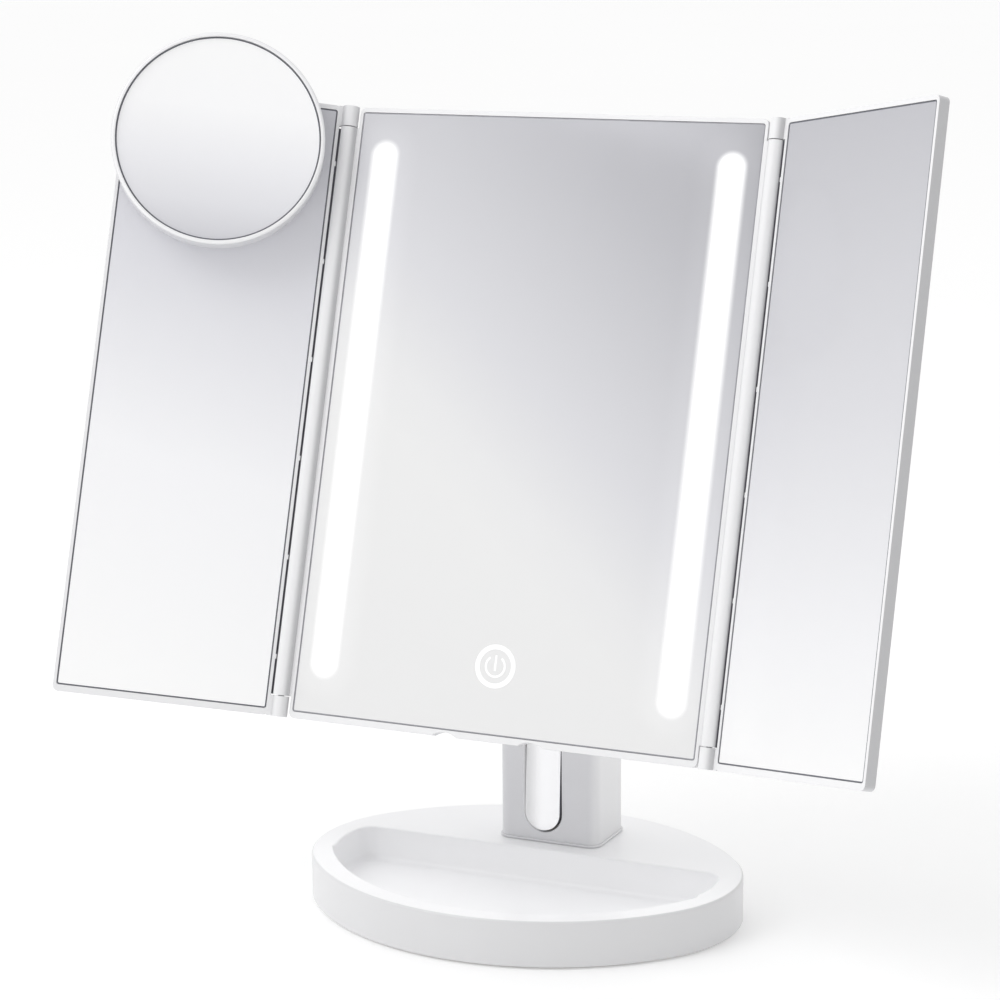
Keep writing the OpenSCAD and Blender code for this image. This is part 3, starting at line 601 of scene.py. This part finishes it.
def rounded_piece(node, name, matrix, material, body, rounds, smooth=35, shaded=None,
                  before=None, after=None):
    """A copy of a CAD node with rounded edges; rounds holds (width, segments, pick) in order.

    Before and after change its mesh before and after the rounding. Faces that shaded picks by their
    middle and normal are painted dark: painted shade where they line a narrow gap."""
    bm = merged_copy(node, matrix)
    if before:
        before(bm)
    for width, segments, pick in rounds:
        round_edges(bm, width, segments, pick)
    if after:
        after(bm)
    materials = [material]
    if shaded:
        materials.append(gap_shade())
        bm.normal_update()
        for face in bm.faces:
            face.material_index = int(shaded(face.calc_center_median(), face.normal))
    return finish_piece(bm, name, matrix, materials, body, [node], smooth)


def dress(material, *nodes):
    """Gives CAD nodes a better material."""
    for name in nodes:
        for slot in frame["nodes"][name].material_slots:
            slot.material = material


def shared(name, make):
    """The material of that name, made by make on first use."""
    return bpy.data.materials.get(name) or make(name)


def frame_white(name, matrix):
    """White of a mirror's frame, whose front looks along the frame's own -y; its sides and the faces
    turned to the right carry painted shade.
    """
    front = (matrix.to_3x3() @ Vector((0, -1, 0)))[:]
    return shared(name, lambda n: moulded_plastic(
        n, colours().frame, coat=0.15, front=front, painted_side_shading=(0.4, 1.0, 0.2, 0.3)))


def rim_white():
    """White of the spot mirror's rim, whose front looks along its own z; its sides carry painted
    shade and the whole rim a faint painted glow.
    """
    front = (SPOT.to_3x3() @ Vector((0, 0, 1)))[:]
    return shared("rim_white", lambda n: moulded_plastic(
        n, colours().frame, coat=0.15, painted_glow=0.06, front=front))


def button_white():
    # painted glow over the button, and painted shade on the faces turned to the left
    return shared("button_white", lambda n: moulded_plastic(
        n, colours().frame, roughness=0.25, coat=0.3, painted_glow=0.3,
        painted_side_shading=(0.1, -0.45, 0.5, 0.35)))


def base_white():
    # painted light: a glow and a lighter white on the base's top and tray
    return shared("base_white", lambda n: tray_plastic(
        n, colours().shell, colours().tray, painted_glow=0.085))


def column_white():
    # painted light: faces turned to the right are lighter
    return shared("column_white", lambda n: moulded_plastic(
        n, colours().column, roughness=0.35, coat=0.15, painted_side_shading=(0.1, 0.9, 0.6, 1.0)))


def white_satin():
    return shared("satin_white", lambda n: moulded_plastic(
        n, colours().shell, roughness=0.42, grain=0.004 * MM))


def gap_shade():
    # painted shade: dark grey for faces that line narrow gaps
    return shared("gap_shade", lambda n: moulded_plastic(n, GAP_SHADE_GREY, roughness=0.6))


def dark_edge():
    return shared("dark_glass_edge", lambda n: glass_edge(n, colours().edge))


# ---------------------------------------------------------------- operators


class VANITY_OT_base(bpy.types.Operator):
    """Builds the oval base with its tray, its rubber feet and the ring at the column's foot"""

    bl_idname = "vanity.base"
    bl_label = "Base and Tray"

    def execute(self, context):
        size = sizes()
        low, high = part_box("base_shell")

        def at(height, point):
            return abs(point.z - height) < NEAR

        def in_tray(point):
            inside = abs(point.x) < high.x - TRAY_RIM
            return inside and low.y + TRAY_RIM < point.y < TRAY_BACK

        def tray_floor(point):
            return at(TRAY_FLOOR, point) and in_tray(point)

        def tray_mouth(point):
            return at(high.z, point) and in_tray(point) and oval_depth(point) > TRAY_MOUTH

        def outer_top(point):
            return at(high.z, point) and oval_depth(point) < BASE_EDGE

        def outer_bottom(point):
            return at(low.z, point) and oval_depth(point) < UNDERSIDE_ROUND

        def oval_depth(point):
            """How far inside the base's outline a point is."""
            end_x = high.x - BASE_END_R
            end_y = high.y - BASE_END_R
            drop = (end_x ** 2 - end_y ** 2) / (2 * end_y)
            meet_x = end_x + BASE_END_R * end_x / Vector((end_x, drop)).length
            ends = BASE_END_R - Vector((abs(point.x) - end_x, point.y)).length
            flats = high.y + drop - Vector((point.x, abs(point.y) + drop)).length
            return ends if abs(point.x) > meet_x else flats

        rounded_piece("base_shell", "base_body", WORLD, base_white(), "stand", [
            (size.tray_fillet, 6, tray_floor),
            (size.tray_round, size.segments, tray_mouth),
            (size.base_round, size.segments, outer_top),
            (UNDERSIDE_ROUND, 2, outer_bottom)], smooth=50)
        rounded_piece("base_feet", "rubber_feet", WORLD, rubber("foot_rubber", colours().rubber),
                      "stand", [(FEET_ROUND, 2, None)])
        rounded_piece("column_collar", "column_foot_ring", WORLD, column_white(), "stand",
                      [(COLLAR_ROUND, 2, None)])
        return {"FINISHED"}


class VANITY_OT_column(bpy.types.Operator):
    """Builds the column, its release button and the yoke that carries the mirror"""

    bl_idname = "vanity.column"
    bl_label = "Column and Button"

    def execute(self, context):
        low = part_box("column_shell")[0]

        def front_edge(point):
            return abs(point.y - low.y) < NEAR and point.z > low.z + COLLAR_TOP

        def in_slot_gap(middle, normal):
            """The button's back, and its sides apart from the one on the left: painted dark as the
            shade in the slot round it.
            """
            return normal.y > -0.35 and normal.x > -0.2

        def raise_face(bm):
            """Brings the button's front forward."""
            face_verts = {v for f in bm.faces if f.normal.y < -0.5 for v in f.verts}
            bmesh.ops.translate(bm, verts=list(face_verts), vec=(0, -sizes().button_rise, 0))

        rounded_piece("column_shell", "column_body", WORLD, column_white(), "stand",
                      [(COLUMN_ROUND, 3, front_edge)])
        rounded_piece("release_button", "release_button_cap", WORLD, button_white(),
                      "release_button", [(BUTTON_ROUND, 2, None)], smooth=40,
                      shaded=in_slot_gap, before=raise_face)
        rounded_piece("tilt_yoke", "tilt_yoke_body", HEAD, white_satin(), "head",
                      [(YOKE_ROUND, 2, None)])
        return {"FINISHED"}


class VANITY_OT_main_frame(bpy.types.Operator):
    """Builds the main mirror's frame with its two hinge barrels"""

    bl_idname = "vanity.main_frame"
    bl_label = "Main Frame"

    def execute(self, context):
        def outer(point):
            at_side = abs(point.x) > PANEL_W / 2 - FRAME_SIDE
            at_end = point.z < FRAME_END or point.z > PANEL_H - FRAME_END
            return point.y < FRAME_BACK and (at_side or at_end)

        def in_hinge_gap(middle, normal):
            """The outer side of each barrel, without its front, back and ends: painted dark as the
            shade in the hinge gap.
            """
            return abs(middle.x) > HINGE_X and -0.5 < normal.y < 0.4 and abs(normal.z) < 0.5

        white = frame_white("main_frame_white", HEAD)
        rounded_piece("main_frame", "main_frame_body", HEAD, white, "head",
                      [(sizes().frame_round, 2, outer)], shaded=in_hinge_gap)
        return {"FINISHED"}


class VANITY_OT_rear(bpy.types.Operator):
    """Builds the rear housing and the battery door"""

    bl_idname = "vanity.rear"
    bl_label = "Rear Housing and Battery Door"

    def execute(self, context):
        def back_outline(point):
            at_side = abs(point.x) > PANEL_W / 2 - HOUSING_SIDE
            at_end = point.z < HOUSING_END or point.z > PANEL_H - HOUSING_END
            return abs(point.y - HOUSING_BACK) < NEAR and (at_side or at_end)

        rounded_piece("rear_housing", "rear_housing_body", HEAD, white_satin(), "head",
                      [(sizes().housing_round, 5, back_outline)], smooth=45)
        rounded_piece("battery_door", "battery_door_body", HEAD, white_satin(), "battery_door",
                      [(PANEL_ROUND, 2, None)])
        return {"FINISHED"}


class VANITY_OT_wings(bpy.types.Operator):
    """Builds the frames and backs of the two side mirrors"""

    bl_idname = "vanity.wings"
    bl_label = "Side Mirror Frames"

    def execute(self, context):
        def in_hinge_gap(middle, normal):
            """The side of the frame that faces the barrel, and the front of its thin lip: painted
            dark as the shade in the hinge gap.
            """
            beside = abs(middle.x) < WING_IN + LIP_BITE / 2 and GAP_END < middle.z < PANEL_H - GAP_END
            towards_barrel = normal.x * middle.x < 0 and abs(normal.x) > 0.9
            lip_front = normal.y < -0.5 and middle.y > LIP_FRONT
            return beside and (towards_barrel or lip_front)

        for side, way, matrix in (("left", -1, LEFT_WING), ("right", 1, RIGHT_WING)):
            def dark_gap_lip(bm):
                """A thin lip behind the barrel, so that no light shows through the gap; its front is
                painted dark as the shade in the gap.
                """
                place = Matrix.Translation((way * (WING_IN - LIP_OUT / 2), LIP_Y, PANEL_H / 2))
                size = Matrix.Diagonal((LIP_OUT + LIP_BITE, LIP_T, PANEL_H - 2 * GAP_END, 1))
                bmesh.ops.create_cube(bm, size=1, matrix=place @ size)

            white = frame_white(f"{side}_frame_white", matrix)
            rounded_piece(f"{side}_wing_frame", f"{side}_frame_body", matrix, white,
                          f"{side}_wing", [(sizes().frame_round, 2, None)],
                          shaded=in_hinge_gap, after=dark_gap_lip)
            rounded_piece(f"{side}_wing_back", f"{side}_back_panel", matrix, white_satin(),
                          f"{side}_wing", [(PANEL_ROUND, 2, None)])
        return {"FINISHED"}


def mirror_plate(node, name, matrix, material, body, rim):
    """Mirror glass whose front has a ground edge line round the silvered face."""
    bm = merged_copy(node, matrix)
    front = min(vertex.co.y for vertex in bm.verts)
    faces = [f for f in bm.faces if all(abs(v.co.y - front) < 0.01 * MM for v in f.verts)]
    for face in bm.faces:
        face.material_index = 1
    bmesh.ops.inset_region(bm, faces=faces, thickness=sizes().glass_line, use_even_offset=True)
    for face in faces:
        face.material_index = 0
    finish_piece(bm, name, matrix, [material, rim], body, [node])


class VANITY_OT_mirrors(bpy.types.Operator):
    """Builds the three flat mirror glasses"""

    bl_idname = "vanity.mirrors"
    bl_label = "Mirror Glasses"

    def execute(self, context):
        # the painted reflection: the fall of light painted over each mirror, from its upper end (0)
        # to its lower end (1)
        main = lit_mirror("main_silver", across=-3.2, along=-3.9, offset=1.29, stops=[
            (0.0, tone(168, 5)), (0.33, tone(194, 5)), (0.72, tone(222, 4)),
            (0.9, tone(236, 1)), (1.0, tone(239, 0))])
        mirror_plate("main_glass", "main_mirror", HEAD, main, "head",
                     glass_edge("grey_glass_edge", colours().main_edge))
        down = -1 / PANEL_H
        right = plain_mirror("right_silver", RIGHT_WING, across=0.0, along=down, offset=1.0, stops=[
            (0.0, tone(196, 5)), (0.45, tone(221, 4)), (0.8, tone(243, 2)), (1.0, tone(252, 0))])
        mirror_plate("right_wing_glass", "right_mirror", RIGHT_WING, right, "right_wing",
                     dark_edge())
        left = plain_mirror("left_silver", LEFT_WING, across=-0.8, along=down, offset=0.97, stops=[
            (0.0, tone(196, 5)), (0.3, tone(223, 5)), (0.62, tone(246, 2)), (1.0, tone(252, 0))],
            painted_glow=MIRROR_PAINTED_GLOW)
        mirror_plate("left_wing_glass", "left_mirror", LEFT_WING, left, "left_wing",
                     dark_edge())
        return {"FINISHED"}


class VANITY_OT_touch_sign(bpy.types.Operator):
    """Builds the lit ring and power sign of the touch switch"""

    bl_idname = "vanity.touch_sign"
    bl_label = "Touch Switch Sign"

    def execute(self, context):
        size = sizes()
        bm = bmesh.new()
        band(bm, size.ring_r, size.ring_w, start=0, end=360, steps=72)
        band(bm, size.sign_r, size.sign_w, start=35, end=325, steps=48)
        stroke = Matrix.Diagonal((size.sign_w, SIGN_T, STROKE_L, 1))
        bmesh.ops.create_cube(bm, size=1, matrix=Matrix.Translation((0, 0, STROKE_Z)) @ stroke)
        place = HEAD @ Matrix.Translation((0, GLASS_Y - SIGN_T / 2, TOUCH_Z))
        finish_piece(bm, "touch_sign", place, [shared("frosted_light", frosted_light)], "head",
                     [])
        return {"FINISHED"}


def band(bm, radius, width, start, end, steps):
    """A flat band round the y axis from start to end degrees, clockwise from the top."""
    corners = [bm.verts.new((radius + x * width / 2, y * SIGN_T / 2, 0))
               for x, y in ((-1, -1), (1, -1), (1, 1), (-1, 1))]
    section = bm.faces.new(corners)
    full = end - start == 360
    turn = Matrix.Rotation(math.radians(start - 90), 3, "Y")
    bmesh.ops.rotate(bm, cent=(0, 0, 0), matrix=turn, verts=corners)
    if full:
        edges = list(section.edges)
        bmesh.ops.delete(bm, geom=[section], context="FACES_ONLY")
        geometry = corners + edges
    else:
        geometry = [section] + list(section.edges) + corners
    bmesh.ops.spin(bm, geom=geometry, cent=(0, 0, 0), axis=(0, 1, 0),
                   angle=math.radians(end - start), steps=steps, use_merge=full)
    bmesh.ops.remove_doubles(bm, verts=bm.verts, dist=0.001 * MM)
    bmesh.ops.recalc_face_normals(bm, faces=bm.faces)


def turned(profile, steps):
    """A closed body turned round the z axis from a profile of (radius, height) points.

    The profile starts and ends on the axis."""
    bm = bmesh.new()
    points = [bm.verts.new((radius, 0, height)) for radius, height in profile]
    edges = [bm.edges.new(pair) for pair in zip(points, points[1:])]
    bmesh.ops.spin(bm, geom=points + edges, cent=(0, 0, 0), axis=(0, 0, 1),
                   angle=2 * math.pi, steps=steps, use_merge=True)
    bmesh.ops.remove_doubles(bm, verts=bm.verts, dist=0.001 * MM)
    bmesh.ops.recalc_face_normals(bm, faces=bm.faces)
    return bm


class VANITY_OT_spot(bpy.types.Operator):
    """Builds the round magnifying mirror's rim and glass"""

    bl_idname = "vanity.spot"
    bl_label = "Spot Mirror"

    def execute(self, context):
        rounded_piece("spot_housing", "spot_rim", SPOT, rim_white(), "spot_mirror",
                      [(RIM_ROUND, 3, None)], smooth=40)
        self.glass()
        return {"FINISHED"}

    def glass(self):
        """A shallow bowl of glass, silvered inside its ground edge line."""
        silver_r = SPOT_GLASS_R - sizes().glass_line

        def bowl(radius):
            return math.sqrt(SPOT_BOWL_R**2 - radius**2)

        radii = [silver_r * i / SPOT_RINGS for i in range(SPOT_RINGS + 1)] + [SPOT_GLASS_R]
        front = [(r, SPOT_GLASS_FRONT + bowl(SPOT_GLASS_R) - bowl(r)) for r in radii]
        bm = turned(front + [(SPOT_GLASS_R, SPOT_GLASS_BACK), (0, SPOT_GLASS_BACK)], steps=128)
        for face in bm.faces:
            middle = face.calc_center_median()
            silver = middle.xy.length < silver_r and middle.z > SPOT_GLASS_BACK + 0.5 * MM
            face.material_index = 0 if silver else 1
        stops = [(0.0, tone(252, 0)), (0.35, tone(250, 1)), (0.6, tone(238, 3)),
                 (0.8, tone(226, 4)), (1.0, tone(206, 5))]
        grey = plain_mirror("spot_silver", LEFT_WING, across=0.0, along=-1 / SPOT_FALL,
                            offset=SPOT_FALL_TOP / SPOT_FALL, stops=stops, painted_glow=MIRROR_PAINTED_GLOW)
        finish_piece(bm, "spot_mirror_glass", SPOT, [grey, dark_edge()], "spot_mirror",
                     ["spot_glass"], smooth=30)


class VANITY_OT_inner_parts(bpy.types.Operator):
    """Finishes the screws, pins, boards, wires and other inner parts"""

    bl_idname = "vanity.inner_parts"
    bl_label = "Inner Parts"

    def execute(self, context):
        steel = metal("plated_steel", (0.5, 0.5, 0.52), roughness=0.35)
        bright = metal("bright_metal", (0.78, 0.78, 0.8), roughness=0.22, brushed=(1, 1, 6))
        ivory = moulded_plastic("inner_plastic", colours().inner, roughness=0.5)
        dress(ivory, "base_bottom", "base_post", "pivot_block")
        dress(white_satin(), "spot_back")
        dress(steel, "base_weight", "button_spring", "friction_washers", "left_hinge_pins",
              "right_hinge_pins")
        dress(bright, "base_screws", "button_pin", "tilt_shaft", "shaft_nut", "yoke_screws",
              "usb_socket", "rear_screws", "battery_contacts")
        bush = moulded_plastic("bush_plastic", (0.62, 0.56, 0.4), roughness=0.45)
        dress(bush, "pivot_bushes")
        dress(circuit_board("green_board", colours().board), "left_led_board", "right_led_board",
              "control_board")
        dress(metal("copper_pad", (0.85, 0.5, 0.25), roughness=0.3), "touch_sensor")
        dress(cell_wrap("cell_sleeve"), "battery_cells")
        dress(rubber("wire_sheath", (0.45, 0.05, 0.04)), "wiring")
        dress(rubber("clear_vinyl", (0.85, 0.87, 0.9), clear=0.7), "spot_cups")
        dress(shared("frosted_light", frosted_light), "left_diffuser", "right_diffuser")
        return {"FINISHED"}


class VANITY_OT_stage(bpy.types.Operator):
    """Sets the pale floor, the soft studio light and the camera"""

    bl_idname = "vanity.stage"
    bl_label = "Stage, Light and Camera"

    def execute(self, context):
        self.floor()
        self.world(context.scene)
        softbox("key_softbox", place=(-0.9, -1.2, 1.7), target=(0, 0, 0.15), size=1.1, power=10)
        self.camera(context.scene)
        context.scene.view_settings.view_transform = "Standard"
        return {"FINISHED"}

    def floor(self):
        """A round, pale floor that reaches beyond the view."""
        bm = bmesh.new()
        bmesh.ops.create_circle(bm, cap_ends=True, radius=12, segments=96)
        mesh = bpy.data.meshes.new("studio_floor")
        bm.to_mesh(mesh)
        bm.free()
        finish = Finish("pale_floor", Roughness=0.8, Specular_IOR_Level=0.2,
                        Emission_Color=(1, 1, 1, 1), Emission_Strength=0.12)
        cloud = finish.spread(finish.noise(0.8, 2), 0, 1)
        pale = finish.blend(cloud, (0.95, 0.95, 0.95, 1), (0.955, 0.955, 0.955, 1))
        finish.link(pale, "Base Color")
        mesh.materials.append(finish.material)
        floor = bpy.data.objects.new("studio_floor", mesh)
        bpy.context.scene.collection.objects.link(floor)

    def world(self, scene):
        """Soft light from all round: brightest overhead, dimmest in front on the right.

        The backdrop itself is an even white."""
        middle = 0.62
        to_right = -0.2
        to_rear = 0.2
        upwards = 0.4
        world = bpy.data.worlds.new("studio")
        world.use_nodes = True
        tree = world.node_tree

        def maths(operation, *values):
            node = tree.nodes.new("ShaderNodeMath")
            node.operation = operation
            for index, value in enumerate(values):
                if isinstance(value, bpy.types.NodeSocket):
                    tree.links.new(value, node.inputs[index])
                else:
                    node.inputs[index].default_value = value
            return node.outputs[0]

        axes = tree.nodes.new("ShaderNodeSeparateXYZ")
        tree.links.new(tree.nodes.new("ShaderNodeTexCoord").outputs["Generated"], axes.inputs[0])
        level = maths("MULTIPLY_ADD", axes.outputs["X"], to_right, middle)
        level = maths("MULTIPLY_ADD", axes.outputs["Y"], to_rear, level)
        level = maths("MULTIPLY_ADD", axes.outputs["Z"], upwards, level)
        seen = tree.nodes.new("ShaderNodeLightPath").outputs["Is Camera Ray"]
        level = maths("MAXIMUM", level, maths("MULTIPLY", seen, BACKDROP))
        background = tree.nodes["Background"]
        background.inputs["Color"].default_value = (1, 1, 1, 1)
        tree.links.new(level, background.inputs["Strength"])
        scene.world = world

    def camera(self, scene):
        """A long lens, from the front on the right and a little above."""
        target = Vector((-0.09, -37.0, 171.05)) * MM
        distance = 1.17498
        azimuth = math.radians(25.04)
        elevation = math.radians(12.375)
        roll = math.radians(-0.543)
        away = Vector((math.sin(azimuth) * math.cos(elevation),
                       -math.cos(azimuth) * math.cos(elevation), math.sin(elevation)))
        data = bpy.data.cameras.new("studio_camera")
        data.lens = 107.45
        data.sensor_width = 36
        data.shift_x = 0.0164
        data.shift_y = 0.0218
        data.clip_start = 0.05
        data.clip_end = 60
        camera = bpy.data.objects.new("studio_camera", data)
        camera.rotation_mode = "QUATERNION"
        camera.location = target + away * distance
        level = (-away).to_track_quat("-Z", "Y")
        camera.rotation_quaternion = level @ Matrix.Rotation(roll, 3, "Z").to_quaternion()
        scene.collection.objects.link(camera)
        scene.camera = camera


def softbox(name, place, target, size, power):
    """A square area light at place that faces target."""
    data = bpy.data.lights.new(name, "AREA")
    data.shape = "SQUARE"
    data.size = size
    data.energy = power
    light = bpy.data.objects.new(name, data)
    light.location = place
    light.rotation_mode = "QUATERNION"
    light.rotation_quaternion = (Vector(target) - Vector(place)).to_track_quat("-Z", "Y")
    bpy.context.scene.collection.objects.link(light)


class VANITY_PT_sidebar(bpy.types.Panel):
    """Lists the pieces in the order they are built"""

    bl_label = "Vanity Mirror"
    bl_idname = "VANITY_PT_sidebar"
    bl_space_type = "VIEW_3D"
    bl_region_type = "UI"
    bl_category = "Vanity Mirror"

    def draw(self, context):
        for group in (context.scene.vanity_sizes, context.scene.vanity_colours):
            for key in group.__annotations__:
                self.layout.prop(group, key)
        for operator in OPERATORS:
            self.layout.operator(operator.bl_idname)


OPERATORS = (VANITY_OT_base, VANITY_OT_column, VANITY_OT_main_frame, VANITY_OT_rear,
             VANITY_OT_wings, VANITY_OT_mirrors, VANITY_OT_touch_sign, VANITY_OT_spot,
             VANITY_OT_inner_parts, VANITY_OT_stage)
CLASSES = (VanitySizes, VanityColours, *OPERATORS, VANITY_PT_sidebar)


def register():
    for item in CLASSES:
        bpy.utils.register_class(item)
    bpy.types.Scene.vanity_sizes = PointerProperty(type=VanitySizes)
    bpy.types.Scene.vanity_colours = PointerProperty(type=VanityColours)


def unregister():
    del bpy.types.Scene.vanity_colours
    del bpy.types.Scene.vanity_sizes
    for item in reversed(CLASSES):
        bpy.utils.unregister_class(item)


def main():
    register()
    for operator in OPERATORS:
        space, _, name = operator.bl_idname.partition(".")
        getattr(getattr(bpy.ops, space), name)()
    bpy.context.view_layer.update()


if __name__ == "__main__":
    main()
